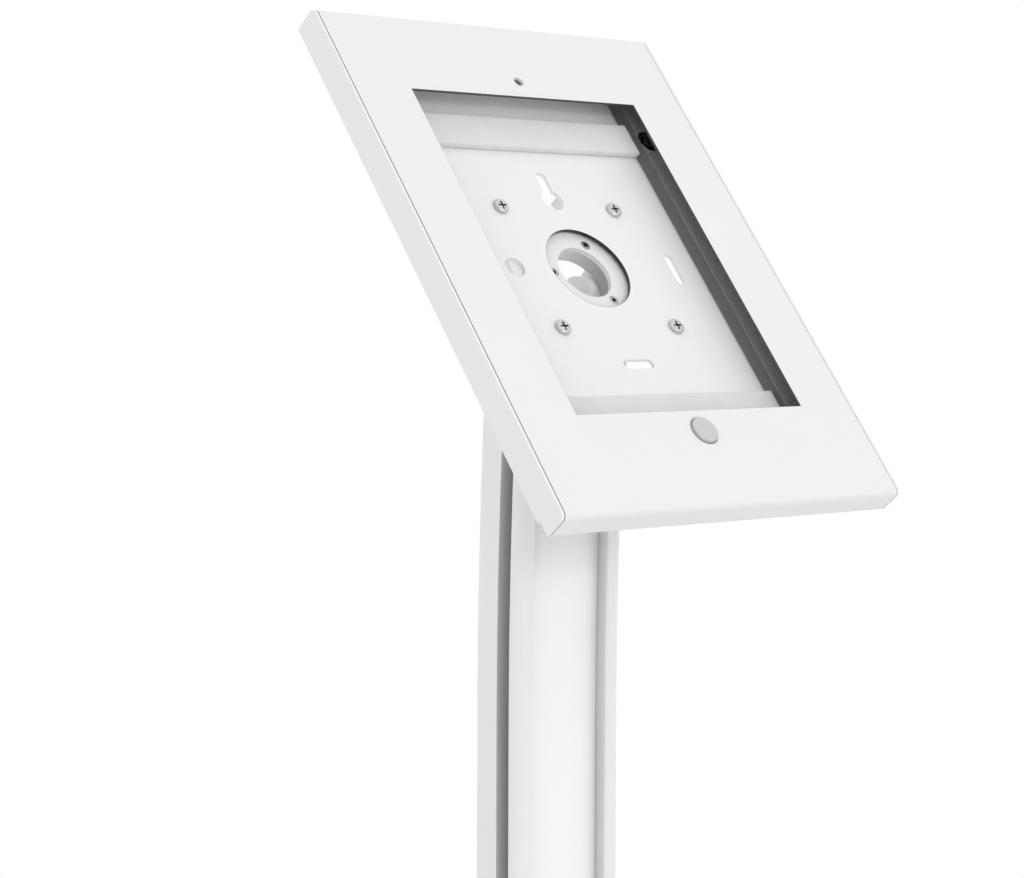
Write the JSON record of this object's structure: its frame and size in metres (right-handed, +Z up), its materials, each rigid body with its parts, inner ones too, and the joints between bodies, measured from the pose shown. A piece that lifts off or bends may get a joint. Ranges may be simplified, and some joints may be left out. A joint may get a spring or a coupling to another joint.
{
  "type": "locking tablet floor stand",
  "caption": "Floor stand with a lockable tablet case on a tilting and swivelling head, a hollow post with a cable way, and a floor plate under a sliding cover.",
  "frame": {"origin": "centre of the anchor circle in the floor, under the base pad, on the post's axis", "axes": "+Z up along the post, -Y the side that the tablet faces, +X to the right as seen from behind the stand's user side, looking along +Y"},
  "size_m": [0.2214, 0.2035, 1.0924],
  "materials": {
    "black_rubber": "matt",
    "plated_steel": "zinc plated",
    "white_cover": "smooth moulded, satin",
    "white_post": "white powder coat, satin",
    "white_strip": "smooth extruded",
    "screw_steel": "bright zinc plated",
    "white_casting": "white powder coat, satin",
    "washer_plastic": "natural nylon",
    "dark_screw": "black oxide",
    "white_sheet": "white powder coat, fine texture, satin",
    "pale_foam": "closed-cell foam, matt",
    "dark_foam": "closed-cell foam, matt",
    "lock_chrome": "bright nickel plate",
    "button_plastic": "translucent grey, polished"
  },
  "bodies": {
    "stand": {"base_pad": "black_rubber", "floor_plate": "plated_steel", "post": "white_post", "post_cover_strip": "white_strip", "post_foot_screws": "screw_steel", "post_head_screws": "screw_steel", "post_head": "white_casting", "tilt_bolt": "screw_steel", "tilt_nut": "screw_steel", "tilt_friction_washers": "washer_plastic"},
    "base_cover": {"base_cover": "white_cover"},
    "tilt_head": {"tilt_hub": "white_casting", "hub_ring": "white_casting", "hub_screws": "dark_screw", "swivel_stop_pin": "screw_steel", "swivel_washer": "washer_plastic"},
    "case": {"swivel_plate": "white_casting", "back_shell": "white_sheet", "vesa_screws": "screw_steel", "upper_pad": "pale_foam", "lower_pad": "pale_foam", "left_liner": "dark_foam", "right_liner": "dark_foam", "lock_housing": "lock_chrome", "lock_retaining_ring": "screw_steel", "cover_hinge_pin": "screw_steel"},
    "cover": {"front_cover": "white_sheet", "lock_keeper": "plated_steel", "button_retainer": "washer_plastic", "button_spring": "screw_steel"},
    "lock": {"lock_plug": "lock_chrome", "lock_cam": "plated_steel", "cam_screw": "screw_steel"},
    "home_button": {"home_button": "button_plastic"}
  },
  "joints": [
    {"name": "base_cover_lift", "type": "slide", "parent": "stand", "child": "base_cover", "axis": [0, 0, 1], "range_m": [0, 0.2]},
    {"name": "head_tilt", "type": "hinge", "parent": "stand", "child": "tilt_head", "pos_m": [0, -0.00823, 0.95078], "axis": [1, 0, 0], "range_deg": [-35, 30]},
    {"name": "case_swivel", "type": "hinge", "parent": "tilt_head", "child": "case", "pos_m": [0, -0.04266, 0.97801], "axis": [0, -0.7843, 0.6203], "range_deg": [-90, 90]},
    {"name": "cover_open", "type": "hinge", "parent": "case", "child": "cover", "pos_m": [0, -0.12222, 0.85147], "axis": [1, 0, 0], "range_deg": [0, 100]},
    {"name": "lock_turn", "type": "hinge", "parent": "case", "child": "lock", "pos_m": [0.0873, 0.02067, 1.03553], "axis": [0, -0.7843, 0.6203], "range_deg": [-90, 0]},
    {"name": "button_press", "type": "slide", "parent": "cover", "child": "home_button", "axis": [0, 0.7843, -0.6203], "range_m": [0, 0.0008], "stiffness_N_per_m": 400, "springref_m": -0.001}
  ]
}
